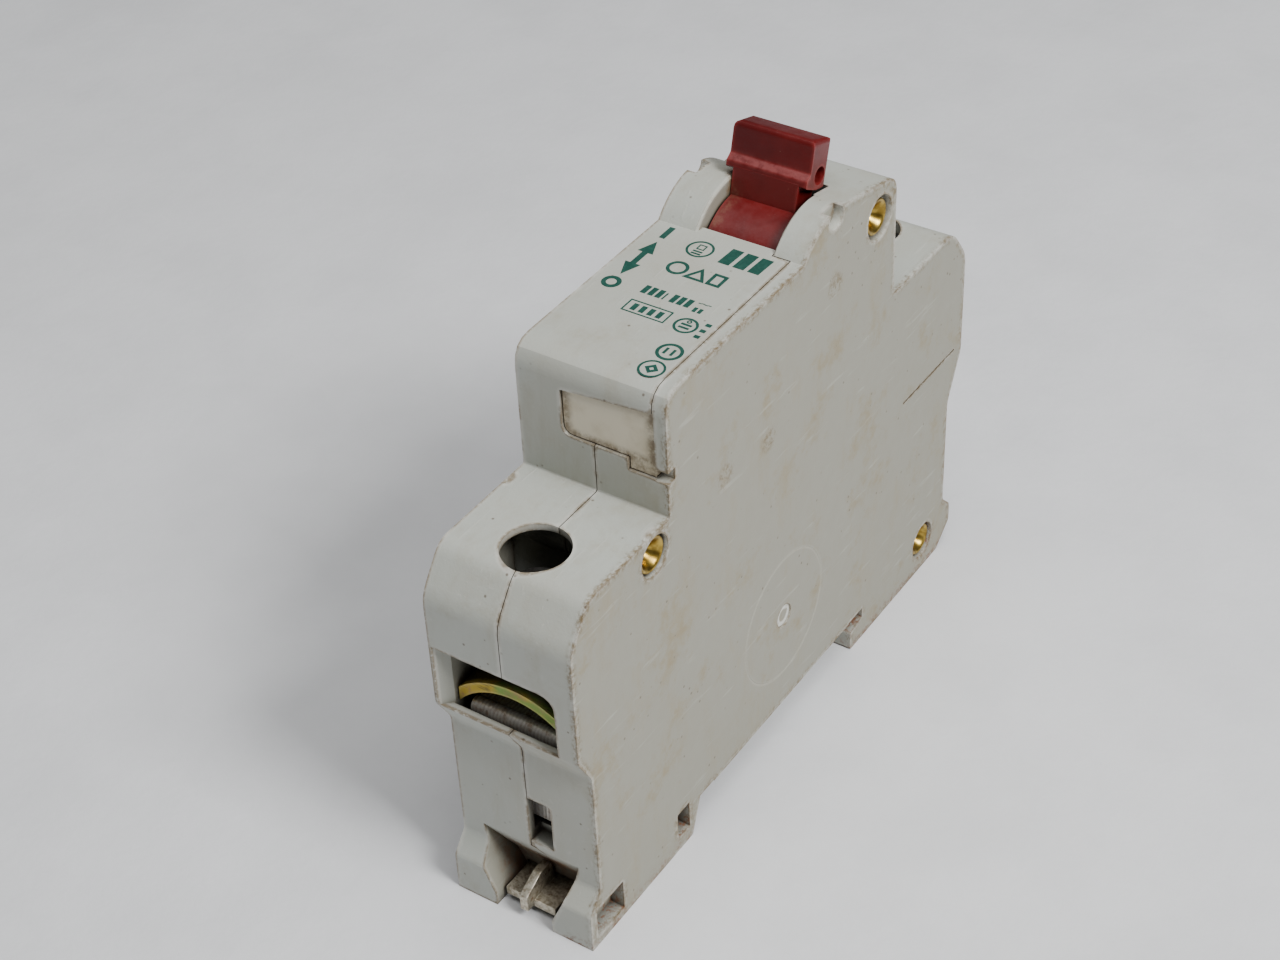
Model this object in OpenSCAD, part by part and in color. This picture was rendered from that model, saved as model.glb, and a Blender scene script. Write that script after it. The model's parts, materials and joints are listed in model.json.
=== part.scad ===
// Single-pole miniature circuit breaker for a 35 mm rail.
// +X is across the module, +Y runs from the O end to the I end, +Z points out of the front.
// The origin is the centre of the footprint, level with the lowest faces of the feet.

/* [Housing] */
// Module width
width = 17.5; // [17.4:0.1:17.8]
// Overall length along the rail's cross direction
length = 80; // [79:0.5:81]
// Length of the raised front block that shows through a panel cut-out
front_length = 45; // [44.5:0.1:45.2]
// Height of the label face above the feet
label_z = 60.6; // [60.2:0.1:61]
// Height of the two terminal shoulders
shoulder_z = 46; // [45.5:0.1:46.5]
// Height of the face that sits on the rail
seat_z = 4.3; // [4.2:0.1:4.4]
// Thickness of the flat side walls
side_wall = 1.6; // [1.4:0.1:1.7]

/* [Toggle] */
// Radius of the toggle's drum
drum_r = 7.2; // [7:0.1:7.3]
// Width of the toggle's grip
grip_w = 9.6; // [9.2:0.1:9.8]
// Width of the opening for the toggle
slot_w = 9; // [8.9:0.05:9.1]

/* [Terminals] */
// Distance of each terminal screw from the middle of the part
screw_y = 32.7; // [32.5:0.1:32.9]
// Radius of the terminal screw's thread
screw_r = 1.9; // [1.8:0.1:2]
// Radius of the hole above each screw
access_r = 3.6; // [3.5:0.05:3.65]

/* [Mechanism] */
// Number of plates in the arc chute
arc_plate_count = 8; // [6:1:8]
// Turns in the magnetic trip coil
coil_turns = 9; // [7:1:10]
// Radius of the moving contact's silver tip
tip_r = 1.5; // [1.3:0.1:1.7]

/* [Hidden] */
$fn = 48;
half_w = width / 2;
half_l = length / 2;
half_front = front_length / 2;
inner_x = half_w - side_wall;
seam_x = 0.2;
seam_gap = 0.05;
label_seam_x = 7.1;
fit = 0.05;
far = 100;

// Rail side of the foot
rail_near_y = -18.9;
rail_far_y = 17;
hook_tip_y = 14.2;
hook_top_z = 2.5;

// Toggle pivot, crank pin and the lean of the grip in the I position
pivot = [9.6, 54.6];
crank = pivot + [-4.23, -1.54];
drum_x = [-3.75, 4.7];
drum_gap = 0.25;
slot_near_y = 4.6;
slot_far_y = 14.6;
slot_x = [0.5 - slot_w / 2, 0.5 + slot_w / 2];
rim = 0.2;
grip_top = [12.15, 69.15];
grip_lean = 16.5;
tie_bar = [13, 64.75];
tie_bar_r = 1;

// Heights of the marker window's top edge, left and right
window_z = [57, 58];

// Curved cheeks beside the toggle
cheek = [9.7, 55.1];
cheek_r = 8.5;
cheek_end_angle = 78.1;
left_fall_angle = 43;
notch_spots = [[10.35, 63.65], [9.7, 62.75]];
notch_r = 1.4;
notch_depth = 1.1;

// Rivets through both shells
rivet_spots = [[-25.3, 43.3], [18.9, 57.7], [32, 4.2]];
rivet_recess_r = [2.35, 2.6, 2.4];
rivet_r = 1.5;
rivet_head_r = 2.1;
rivet_recess = 0.8;
rivet_boss_r = 3;

// Contact arm pivot, its link hole and the contact height
arm_pivot = [-4, 43.4];
link_hole = arm_pivot + [0.4, 4.1];
link_hole_r = 1.0;
wire_r = 0.5;
contact_z = 25;
trip_pivot = [-12.4, 44.4];
calibration_y = -19.2;
calibration_r = 0.8;
axle_r = 1;

// Terminals
clamp_half = 6.2;
clamp_front_half = 6.9;
clamp_peak_z = 31.7;
clamp_end_z = 28.9;
clamp_t = 1.2;
clamp_front_y = 38.35;
bar_z = 26.3;
bar_edge_r = 0.9;
bar_edge_y = 37.2;
far_riser_y = 21;
entry_x = [-7.15, 6.3];
entry_z = [27, 34.8];
cage_y0 = screw_y - 2.2;
cage_y1 = screw_y + 2.2;

// Magnetic trip
coil_z = 37;
coil_y0 = 1.6;
coil_y1 = 16.4;

// ---- helpers: outlines are given as [Y, Z] and carried along X ----

function unit(v) = v / norm(v);

// A corner at b, eased over a distance t along both edges
function eased(a, b, c, t, n = 4) =
    t == 0 ? [b] :
    let (p = b + unit(a - b) * t, q = b + unit(c - b) * t)
    [for (i = [0:n]) let (s = i / n) (1 - s) * (1 - s) * p + 2 * s * (1 - s) * b + s * s * q];

// An outline from [Y, Z, easing] corners
function outline(c) =
    let (n = len(c), p = [for (v = c) [v[0], v[1]]])
    [for (i = [0:n - 1]) each eased(p[(i + n - 1) % n], p[i], p[(i + 1) % n], c[i][2])];

function arc(c, r, a0, a1, n) =
    [for (i = [0:n]) c + r * [cos(a0 + (a1 - a0) * i / n), sin(a0 + (a1 - a0) * i / n)]];

function with_easing(points, t) = [for (p = points) [p[0], p[1], t]];

module along_x(x0, x1)
    translate([x0, 0, 0]) rotate([90, 0, 90]) linear_extrude(x1 - x0) children();

module along_y(y0, y1)
    translate([0, y1, 0]) rotate([90, 0, 0]) linear_extrude(y1 - y0) children();

module rod_x(p, r, x0, x1)
    translate([x0, p[0], p[1]]) rotate([0, 90, 0]) cylinder(r = r, h = x1 - x0);

module rod_y(x, z, r, y0, y1)
    translate([x, y0, z]) rotate([-90, 0, 0]) cylinder(r = r, h = y1 - y0);

module rod_z(x, y, r, z0, z1)
    translate([x, y, z0]) cylinder(r = r, h = z1 - z0);

module box(x0, x1, y0, y1, z0, z1)
    translate([x0, y0, z0]) cube([x1 - x0, y1 - y0, z1 - z0]);

// Wound wire: its axis is +Z from the origin, and both ends are cut square
module wound_wire(r, wire, turns, pitch, steps = 12, sides = 6) {
    rings = turns * steps;
    points = [for (i = [0:rings], j = [0:sides - 1])
        let (a = 360 * i / steps, b = 360 * j / sides, reach = r + wire * cos(b))
        [reach * cos(a), reach * sin(a), wire + pitch * i / steps + wire * sin(b)]];
    walls = [for (i = [0:rings - 1], j = [0:sides - 1])
        let (k = (j + 1) % sides)
        [i * sides + j, i * sides + k, (i + 1) * sides + k, (i + 1) * sides + j]];
    first = [for (j = [sides - 1:-1:0]) j];
    last = [for (j = [0:sides - 1]) rings * sides + j];
    polyhedron(points = points, faces = concat([first], walls, [last]));
}

// ---- outlines ----

cheek_start = 180 - asin((label_z - cheek[1]) / cheek_r);
rear_slope = tan(cheek_end_angle - 90);
rear_r = 2.2;
cheek_end = cheek + cheek_r * [cos(cheek_end_angle), sin(cheek_end_angle)];
rear_corner_y = half_front - rear_r + rear_r * cos(cheek_end_angle);
rear_corner = [half_front - rear_r,
    cheek_end[1] + rear_slope * (rear_corner_y - cheek_end[0]) - rear_r * sin(cheek_end_angle)];

body_corners = concat(
    [[-half_l, 0, 0], [-half_l, 5, 0.4], [-half_l + 2, 7.3, 0.5], [-half_l + 2, 23.7, 0.6],
     [-half_l, 27.2, 0.6], [-half_l, 41.4, 1.4], [-half_l + 3.4, shoulder_z, 1.4],
     [-half_front, shoulder_z, 0.3], [-half_front, label_z, 2.6]],
    with_easing(arc(cheek, cheek_r, cheek_start, cheek_end_angle, 14), 0),
    with_easing(arc(rear_corner, rear_r, cheek_end_angle, 0, 6), 0),
    [[half_front, shoulder_z, 0.3], [half_l - 3.4, shoulder_z, 1.4], [half_l, 41.4, 1.4],
     [half_l, 27.9, 0.8], [half_l - 2.9, 21.9, 0.8], [half_l - 2.9, 7.1, 0.5],
     [half_l - 1, 5.2, 0.4], [half_l - 1, 2.6, 0.4], [half_l - 4.2, 0, 0.3],
     [hook_tip_y, 0, 0.3], [hook_tip_y, hook_top_z, 0.3], [rail_far_y, 3.1, 0],
     [rail_far_y, seat_z + 0.2, 0], [13.8, seat_z + 0.2, 0], [13.8, seat_z, 0],
     [-16, seat_z, 0], [-16, seat_z + 0.2, 0], [rail_near_y, seat_z + 0.2, 0],
     [rail_near_y - 1.7, 0, 0.3]]);

upper_room = [[-27.4, 24.3], [-27.4, 44.2], [-20.7, 44.2], [-20.7, 57.6], [-19.6, 58.8],
    [20.7, 58.8], [20.7, 44.2], [27.4, 44.2], [27.4, 24.3]];
near_chamber = [[-38.9, 27], [-38.9, 40.6], [-34.9, 45.2], [-27.4, 45.2], [-27.4, 24.3],
    [-36.8, 24.3], [-38.4, 26]];
far_chamber = [[38.9, 27.5], [38.9, 40.6], [34.9, 45.2], [27.4, 45.2], [27.4, 24.3], [36.6, 24.3],
    [38.3, 25.8]];
lower_room = [[-37, 11.2], [-37, 24.4], [35.4, 24.4], [35.2, 22.4], [35.2, 9],
    [26, 9], [20, 6.3], [-21.2, 6.3], [-22.2, 11.2]];

// ---- housing ----

// Space inside both shells, with the partitions left standing
module inner_space()
    difference() {
        union() {
            along_x(-inner_x, inner_x) polygon(upper_room);
            along_x(-inner_x, inner_x) polygon(near_chamber);
            along_x(-inner_x, inner_x) polygon(far_chamber);
            along_x(-inner_x, inner_x) polygon(lower_room);
        }
        box(-half_w, half_w, -27.4, -26, 23, shoulder_z);
        box(-half_w, half_w, -34.6, -26, 23, 24.2);
        difference() {
            box(-half_w, half_w, 26, 27.4, 23, shoulder_z);
            box(-clamp_half, clamp_half, 25, 28, bar_z - 0.9, bar_z + 0.7);
        }
        box(-half_w, half_w, 26, half_l - 2, 23, 24.2);
        for (i = [0:1])
            rod_x(rivet_spots[i], i == 0 ? rivet_boss_r : 2.1, -half_w, half_w);
        for (p = [pivot, arm_pivot, trip_pivot])
            for (s = [-1, 1])
                rod_x(p, 2.2, s > 0 ? 5 : -half_w, s > 0 ? half_w : -5);
    }

module toggle_opening() {
    box(slot_x[0], slot_x[1], slot_near_y, slot_far_y, 50, far);
    box(slot_x[0], slot_x[1], 2, slot_near_y + 0.1, label_z, far);
    rod_x(pivot, drum_r + drum_gap, slot_x[0], slot_x[1]);
    along_x(slot_x[0], slot_x[1])
        polygon([[slot_near_y, label_z - 0.35], [slot_near_y - 0.35, label_z],
                 [slot_near_y - 0.35, label_z + 1], [slot_near_y + 1, label_z + 1]]);
    intersection() {
        translate([0, cheek[0], cheek[1]]) rotate([0, 90, 0]) rotate_extrude()
            polygon([[0, slot_x[0] - rim], [cheek_r, slot_x[0] - rim], [cheek_r - rim, slot_x[0]],
                     [cheek_r - rim, slot_x[1]], [cheek_r, slot_x[1] + rim], [cheek_r + 1, slot_x[1] + rim],
                     [cheek_r + 1, slot_x[0] - rim]]);
        box(-half_w, half_w, 0, cheek_end[0], label_z, far);
        box(slot_x[0] - rim, slot_x[1] + rim, 0, half_front, label_z, far);
    }
    // The left cheek falls away behind its top to a lower ledge
    left_fall = arc(cheek, cheek_r, cheek_end_angle, left_fall_angle, 8);
    along_x(-half_w - 1, slot_x[0])
        polygon(concat(left_fall, [[far, left_fall[8][1]], [far, far], [left_fall[0][0], far]]));
}

module terminal_openings(s) {
    face_y = s * half_l;
    inside_y = s * (half_l - 2);
    along_y(min(face_y, inside_y) - 0.5, max(face_y, inside_y) + 0.5)
        polygon(outline([[entry_x[0], entry_z[0], 0], [entry_x[0], entry_z[1], 0],
                         [entry_x[1], entry_z[1], 2], [entry_x[1], entry_z[0], 0]]));
    // Bevelled jamb on the left of the mouth
    translate([0, 0, entry_z[0]]) linear_extrude(entry_z[1] - entry_z[0])
        polygon([[entry_x[0] - 1.6, s * (half_l + 0.3)], [entry_x[0] + 0.1, s * (half_l + 0.3)],
                 [entry_x[0] + 0.1, s * (half_l - 1.4)]]);
    rod_z(0, s * screw_y, access_r, 44, shoulder_z + 1);
}

module marker_window() {
    recess_y = -half_front + 1.2;
    along_y(-half_front - 1, recess_y)
        polygon(outline([[-3.6, 51.6, 1.2], [-3.6, window_z[0], 0.3], [7.3, window_z[1], 0.3], [7.3, 50.2, 0],
                         [4.1, 50.2, 0], [4.1, 51.6, 0]]));
    box(7.2, half_w + 1, -half_front - 1, recess_y, 50.1, 51.5);
}

module foot_openings() {
    // Recess for the latch tab at the near end
    intersection() {
        along_x(-7, 7)
            polygon([[-half_l - 1, -1], [-half_l - 1, 9.5], [-38, 9.4], [-34.7, 3.8], [-34.5, 2.3], [-34.5, -1]]);
        along_y(-half_l - 2, -34)
            polygon([[-3.6, -2], [-3.6, 1.7], [-5, 4.9], [-6.05, 9.6], [6.2, 9.6], [5, 4.8], [3.6, 1.7], [3.6, -2]]);
    }
    // Channel and spring pocket of the latch
    box(-3.45, 3.45, -35, rail_near_y + 1.5, 0.8, 2.1);
    box(-1.7, 1.7, -32.5, -22.5, 2, 4.8);
    // Inspection slot in the near end face
    box(0.1, 3.1, -half_l, -36, 10.2, 16.5);
    // Open pockets in the flanks of the feet
    for (s = [-1, 1]) {
        box(s > 0 ? half_w - 1.8 : -half_w - 1, s > 0 ? half_w + 1 : -half_w + 1.8, -38.9, -34, 1.1, 5.1);
        box(s > 0 ? half_w - 1.8 : -half_w - 1, s > 0 ? half_w + 1 : -half_w + 1.8,
            -23.4, -21.1, 1.85, seat_z + 1.1);
    }
}

module side_details() {
    gate = [-1, 17];
    for (s = [-1, 1]) {
        side_x = s * half_w;
        // Tie-bar notch in the cheek
        rod_x(notch_spots[s > 0 ? 1 : 0], notch_r,
              s > 0 ? half_w - notch_depth : -half_w - 1, s > 0 ? half_w + 1 : -half_w + notch_depth);
        // Rivet recesses
        for (i = [0:2])
            rod_x(rivet_spots[i], rivet_recess_r[i],
                  s > 0 ? half_w - rivet_recess : -half_w - 1, s > 0 ? half_w + 1 : -half_w + rivet_recess);
        // Moulding gate mark with its faint ring
        translate([side_x, gate[0], gate[1]]) rotate([0, 90, 0]) {
            translate([0, 0, -0.2]) cylinder(r = 1.45, h = 0.4);
            rotate_extrude($fn = 96) translate([8.1, 0]) polygon([[-0.12, 0], [0, -0.08], [0.12, 0], [0, 0.08]]);
        }
        // Parting groove near the far end
        box(side_x - 0.2, side_x + 0.2, 25.7, 38.2, 28.9, 29.15);
        // Blind seats for the three axles
        for (p = [pivot, arm_pivot, trip_pivot])
            rod_x(p, axle_r + fit, s > 0 ? 0 : -half_w + 0.7, s > 0 ? half_w - 0.7 : 0);
    }
    for (p = rivet_spots)
        rod_x(p, rivet_r + fit, -half_w - 1, half_w + 1);
}

module casing(x0, x1)
    difference() {
        along_x(x0, x1) polygon(outline(body_corners));
        inner_space();
        toggle_opening();
        terminal_openings(-1);
        terminal_openings(1);
        marker_window();
        foot_openings();
        side_details();
    }

// Stretch of the label wall that belongs to the base, and sits over the cover
module label_bridge(gap) {
    box(0, label_seam_x + gap, -half_front - 1, 3.2 + gap, window_z[0] + 0.3 - gap, far);
    box(0, slot_x[1] + gap, 3, slot_near_y + 0.5 + gap, window_z[0] + 0.3 - gap, far);
}

// Stepped seam behind the latch: the base's tab lies above the cover's
module base_tab(gap) box(0, 0.85 + gap, -38.5, -33.4, 6.2 - gap, 9.45 + gap);
module cover_tab(gap) box(-0.9 - gap, 0.4, -38.5, -33.4, 3.2 - gap, 6.2 + gap);

module housing_base()
    color("gainsboro") union() {
        difference() {
            casing(-half_w, seam_x - seam_gap);
            cover_tab(seam_gap);
        }
        intersection() {
            casing(seam_x - 2 * seam_gap, label_seam_x + 1);
            union() {
                label_bridge(-seam_gap);
                base_tab(-seam_gap);
            }
        }
    }

module housing_cover()
    color("gainsboro") union() {
        difference() {
            casing(seam_x + seam_gap, half_w);
            label_bridge(seam_gap);
            base_tab(seam_gap);
        }
        intersection() {
            casing(-1, seam_x + 2 * seam_gap);
            cover_tab(-seam_gap);
        }
    }

module rivets()
    color("goldenrod")
        for (i = [0:2])
            translate([0, rivet_spots[i][0], rivet_spots[i][1]]) rotate([0, 90, 0]) eyelet();

// Hollow eyelet with a dished flange at each end
module eyelet() {
    flange_x = half_w - rivet_recess;
    rotate_extrude()
        polygon([[1, -flange_x], [1.35, -flange_x - 0.5], [1.8, -flange_x - 0.6], [rivet_head_r, -flange_x - 0.3],
                 [rivet_head_r, -flange_x], [rivet_r, -flange_x], [rivet_r, flange_x], [rivet_head_r, flange_x],
                 [rivet_head_r, flange_x + 0.3], [1.8, flange_x + 0.6], [1.35, flange_x + 0.5], [1, flange_x]]);
}

module marker_plate()
    color("ivory")
        along_y(-half_front + 0.3, -half_front + 1.15)
            polygon(outline([[-3.5, 51.7, 1.1], [-3.5, window_z[0] - 0.1, 0.3],
                             [7.2, window_z[1] - 0.1, 0.3], [7.2, 50.3, 0],
                             [4.2, 50.3, 0], [4.2, 51.7, 0]]));

// ---- toggle ----

module toggle()
    color("firebrick") difference() {
        union() {
            // Drum, cut away below for the link
            difference() {
                rod_x(pivot, drum_r, drum_x[0], drum_x[1]);
                box(-far, far, -far, far, 0, pivot[1] - 3);
                box(-2.6, 2.6, 0, pivot[0] - 1.9, pivot[1] - 4, pivot[1] + 3.2);
            }
            // Neck
            along_x(-3.9, 3.9)
                polygon([[9.35, 61], [10.3, 64.8], [13.6, 64.6], [12.6, 61]]);
            // Grip, with a ledge along the foot of its near face and eased ends
            intersection() {
                along_x(-grip_w / 2, grip_w / 2)
                    polygon(outline([[10.25, 64.55, 0.2], [10.45, 65.25, 0.15], [11.25, 65.8, 0.15],
                                     [12.15, 69.15, 0.7], [15.7, 67.95, 0.7], [14.05, 63, 0.5],
                                     [12.2, 63.45, 0.3]]));
                translate([0, grip_top[0], grip_top[1]]) rotate([-grip_lean, 0, 0]) {
                    along_y(-8, 8)
                        polygon(outline([[-grip_w / 2, -9, 0], [-grip_w / 2, 0, 0.9],
                                         [grip_w / 2, 0, 0.9], [grip_w / 2, -9, 0]]));
                }
                translate([0, grip_top[0], grip_top[1]]) rotate([-grip_lean, 0, 0])
                    translate([0, 0, -9]) linear_extrude(12)
                        polygon(outline([[-grip_w / 2, -2.2, 0], [-grip_w / 2, 3.75, 0.7],
                                         [grip_w / 2, 3.75, 0.7], [grip_w / 2, -2.2, 0]]));
            }
        }
        rod_x(pivot, axle_r + fit, -far, far);
        rod_x(crank, wire_r + fit, 0, 3.8);
        rod_x(tie_bar, tie_bar_r, -far, far);
        // Groove for the toggle spring
        box(-3.4, -2.25, pivot[0] - 2.4, pivot[0] + 2.4, pivot[1] - 4, pivot[1] + 2.4);
    }

module toggle_axle()
    color("silver") rod_x(pivot, axle_r, -half_w + 0.8, half_w - 0.8);

module toggle_spring()
    color("silver") translate([-3.35, pivot[0], pivot[1]]) rotate([0, 90, 0])
        wound_wire(1.55, 0.16, 2, 0.36);

// Wire link from the toggle's crank to the contact carrier
module link_wire()
    color("silver") union() {
        rise = crank - link_hole;
        angle = atan2(rise[1], rise[0]);
        translate([0, link_hole[0], link_hole[1]]) rotate([angle, 0, 0])
            rod_y(0, 0, wire_r - 0.04, 0, norm(rise));
        rod_x(crank, wire_r, -wire_r, 3.6);
        rod_x(link_hole, wire_r, -wire_r, 2.6);
    }

// ---- contacts ----

module contact_carrier()
    color("dimgray") difference() {
        union() {
            rod_x(arm_pivot, 2.4, -2.8, 2.8);
            along_x(0.9, 2.8)
                polygon(outline([[-6.3, 42.5, 0], [-5.6, 48.9, 1.2], [-1.7, 48.9, 1.2], [-1.7, 42.5, 0]]));
            along_x(-2.8, 2.8)
                polygon([[-6.4, 43.4], [-1.8, 43.4], [-3.6, 39], [-3.6, 33], [-6.4, 33]]);
        }
        rod_x(arm_pivot, axle_r + fit, -far, far);
        rod_x(link_hole, link_hole_r, -far, far);
        box(-1.52, 1.52, -5.22, -4.18, 20, 39.02);
    }

module contact_arm()
    color("peru") union() {
        box(-1.5, 1.5, -5.2, -4.2, 24, 39);
        rod_y(0, contact_z, 1.9, -5.2, -4.2);
    }

module moving_contact_tip()
    color("lightgray") rod_y(0, contact_z, tip_r, -4.2, -3.2);

module arm_axle()
    color("silver") rod_x(arm_pivot, axle_r, -half_w + 0.8, half_w - 0.8);

module contact_spring()
    color("silver") translate([-4.6, arm_pivot[0], arm_pivot[1]]) rotate([0, 90, 0])
        wound_wire(1.6, 0.18, 3, 0.45);

module fixed_contact_strip()
    color("peru")
        along_x(-3, 3)
            polygon([[-2.3, 8.2], [-1.5, 8.2], [-1.5, 29.8], [5.4, 29.8], [5.4, 30.6], [-2.3, 30.6]]);

module fixed_contact_tip()
    color("lightgray") rod_y(0, contact_z, tip_r + 0.2, -3.15, -2.3);

// ---- magnetic trip ----

module coil_winding()
    color("chocolate") translate([0, coil_y1 - 0.1, coil_z]) rotate([90, 0, 0])
        wound_wire(4.2, 0.65, coil_turns, (coil_y1 - coil_y0 - 1.5) / coil_turns, 16, 8);

module coil_bobbin()
    color("khaki") translate([0, coil_y0 - 0.8, coil_z]) rotate([-90, 0, 0]) rotate_extrude() {
        flange = coil_y1 - coil_y0;
        polygon([[2.6, 0], [5.3, 0], [5.3, 0.8], [3.2, 0.8], [3.2, flange + 0.8], [5.3, flange + 0.8],
                 [5.3, flange + 1.6], [2.6, flange + 1.6]]);
    }

module magnet_yoke()
    color("slategray") difference() {
        along_x(-4.6, 4.6)
            polygon([[-0.6, 31.2], [0.6, 31.2], [0.6, 43.4], [17.4, 43.4], [17.4, 31.2], [18.6, 31.2],
                     [18.6, 44.6], [-0.6, 44.6]]);
        rod_y(0, coil_z, 1.2, -1, 1);
        rod_y(0, coil_z, 2.6, 17, 19);
    }

module fixed_core()
    color("darkgray") difference() {
        rod_y(0, coil_z, 2.5, 0.7, 7);
        rod_y(0, coil_z, 0.7, 0, 8);
    }

module plunger()
    color("darkgray") rod_y(0, coil_z, 2.4, 9.6, 18.4);

module plunger_spring()
    color("silver") translate([0, 9.5, coil_z]) rotate([90, 0, 0])
        wound_wire(1.6, 0.2, 4, 0.45);

module striker_pin()
    color("silver") rod_y(0, coil_z, 0.6, -1.2, 9.6);

module trip_lever()
    color("darkkhaki") difference() {
        union() {
            rod_x(trip_pivot, 2, -2, 2);
            along_x(-2, 2)
                polygon([[-13.6, 44.4], [-13.2, 36.2], [-12, 36.2], [-11.2, 44.4]]);
            along_x(-2, 2)
                polygon([[-12.4, 43.2], [-8.2, 43.6], [-7.4, 44.6], [-8.2, 45.4], [-12.4, 46.2]]);
        }
        rod_x(trip_pivot, axle_r + fit, -far, far);
    }

module trip_axle()
    color("silver") rod_x(trip_pivot, axle_r, -half_w + 0.8, half_w - 0.8);

module trip_spring()
    color("silver") translate([-4.2, trip_pivot[0], trip_pivot[1]]) rotate([0, 90, 0])
        wound_wire(1.5, 0.18, 3, 0.45);

// ---- thermal trip ----

module bimetal_strip()
    color("darkgray") box(-2.2, 2.2, -16.4, -15.4, 14.05, 41);

module bimetal_bracket()
    color("silver") difference() {
        along_x(-2.8, 2.8)
            polygon([[-21, 12.8], [-14.2, 12.8], [-14.2, 20], [-15.4, 20], [-15.4, 14], [-21, 14]]);
        rod_z(0, calibration_y, calibration_r + fit, 12, 15);
    }

module calibration_screw()
    color("silver") union() {
        rod_z(0, calibration_y, 1.3, 10.4, 11.6);
        rod_z(0, calibration_y, calibration_r, 11.5, 16.4);
    }

// Flexible strip from the top of the bimetal to the contact arm
module flexible_braid()
    color("peru")
        along_x(-1.2, 1.2)
            polygon([[-15.4, 34], [-15.4, 35], [-12.2, 34.6], [-9.4, 31.4], [-7.2, 30.8], [-5.25, 31],
                     [-5.25, 30], [-7.2, 29.8], [-9.8, 30.6], [-12.4, 33.6]]);

// ---- arc chute ----

module arc_chute_sides()
    color("tan")
        for (s = [-1, 1])
            box(s > 0 ? 6.1 : -6.9, s > 0 ? 6.9 : -6.1, 1.5, 20.5, 9.4, 25.4);

module arc_plates()
    color("slategray")
        for (i = [0:arc_plate_count - 1])
            difference() {
                z = 10.4 + 1.9 * i;
                box(-6, 6, 2, 20, z, z + 0.9);
                // V-shaped mouth that draws the arc in
                translate([0, 0, z - 1]) linear_extrude(3)
                    polygon([[-2.6, 1], [2.6, 1], [0, 8]]);
            }

module arc_runner_upper()
    color("peru") box(-3, 3, 0, 20, 26.4, 27.2);

module arc_runner_lower()
    color("peru") box(-3, 3, -1.5, 20, 8.2, 9);

// ---- terminals: built at the far end, and mirrored for the near end ----

clamp_r = (pow(clamp_front_half, 2) + pow(clamp_peak_z - clamp_end_z, 2)) / (2 * (clamp_peak_z - clamp_end_z));

module clamp_cage()
    color("khaki") difference() {
        box(-7.05, 7.05, cage_y0, cage_y1, 24.4, 37.9);
        box(-clamp_half - 0.1, clamp_half + 0.1, cage_y0 - 1, cage_y1 + 1, 25.2, 36.4);
        rod_z(0, screw_y, screw_r + fit, 36, 39);
    }

module clamp_saddle()
    color("khaki") difference() {
        intersection() {
            along_y(screw_y - 2.8, clamp_front_y) difference() {
                translate([0, clamp_peak_z - clamp_r]) circle(r = clamp_r, $fn = 96);
                translate([0, clamp_peak_z - clamp_r]) circle(r = clamp_r - clamp_t, $fn = 96);
            }
            union() {
                box(-clamp_half, clamp_half, 0, far, 25, far);
                box(-clamp_front_half, clamp_front_half, cage_y1 + 0.2, far, 25, far);
            }
        }
        rod_z(0, screw_y, 1.25, 25, 36);
    }

module clamp_screw()
    color("silver") difference() {
        union() {
            rod_z(0, screw_y, 1.2, clamp_peak_z - 1.3, clamp_peak_z + 0.1);
            rod_z(0, screw_y, screw_r, clamp_peak_z + 0.05, 39.1);
            rod_z(0, screw_y, 2.8, 39, 41.2);
        }
        box(-far, far, screw_y - 0.4, screw_y + 0.4, 40.2, 42);
        box(-0.4, 0.4, screw_y - 1.7, screw_y + 1.7, 40, 42);
    }

module terminal_bar(y0) union() {
    box(-5.9, 5.9, y0, bar_edge_y, bar_z - 0.7, bar_z + 0.5);
    rod_x([bar_edge_y, bar_z], bar_edge_r, -5.9, 5.9);
}

module near_end() mirror([0, 1, 0]) children();

module near_clamp_cage() near_end() clamp_cage();
module near_clamp_saddle() near_end() clamp_saddle();
module near_clamp_screw() near_end() clamp_screw();
module far_clamp_cage() clamp_cage();
module far_clamp_saddle() clamp_saddle();
module far_clamp_screw() clamp_screw();

// Bar under the near clamp, with its leg down to the bimetal
module near_busbar()
    color("silver") difference() {
        union() {
            near_end() terminal_bar(29.4);
            box(-2.6, 3.2, -35.9, -35.1, 11.8, bar_z);
            box(-2.6, 3.2, -35.9, -14.2, 11.7, 12.8);
        }
        rod_z(0, calibration_y, calibration_r + fit, 11, 14);
    }

// Bar under the far clamp, reaching in to the coil
module far_busbar()
    color("silver") union() {
        terminal_bar(far_riser_y);
        box(-2.5, 2.5, far_riser_y, far_riser_y + 0.8, bar_z - 0.7, coil_z + 4);
    }

// ---- rail latch ----

module rail_latch()
    color("lightgray") union() {
        along_x(-3.2, 3.2)
            polygon([[-38.8, 0.9], [-38.8, 2], [-17.9, 2], [-16.9, 1.5], [-16.9, 0.9]]);
        along_x(-0.5, 0.5)
            polygon([[-half_l, 1.2], [-half_l, 3.3], [-37.3, 4.75], [-35.4, 4.75], [-34.8, 1.9], [-38.7, 1.2]]);
        box(-1.2, 1.2, -26, -25, 1.9, 4.5);
    }

module latch_spring()
    color("silver") translate([0, -26.05, 3.4]) rotate([90, 0, 0])
        wound_wire(0.9, 0.2, 6, 0.98);

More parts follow.
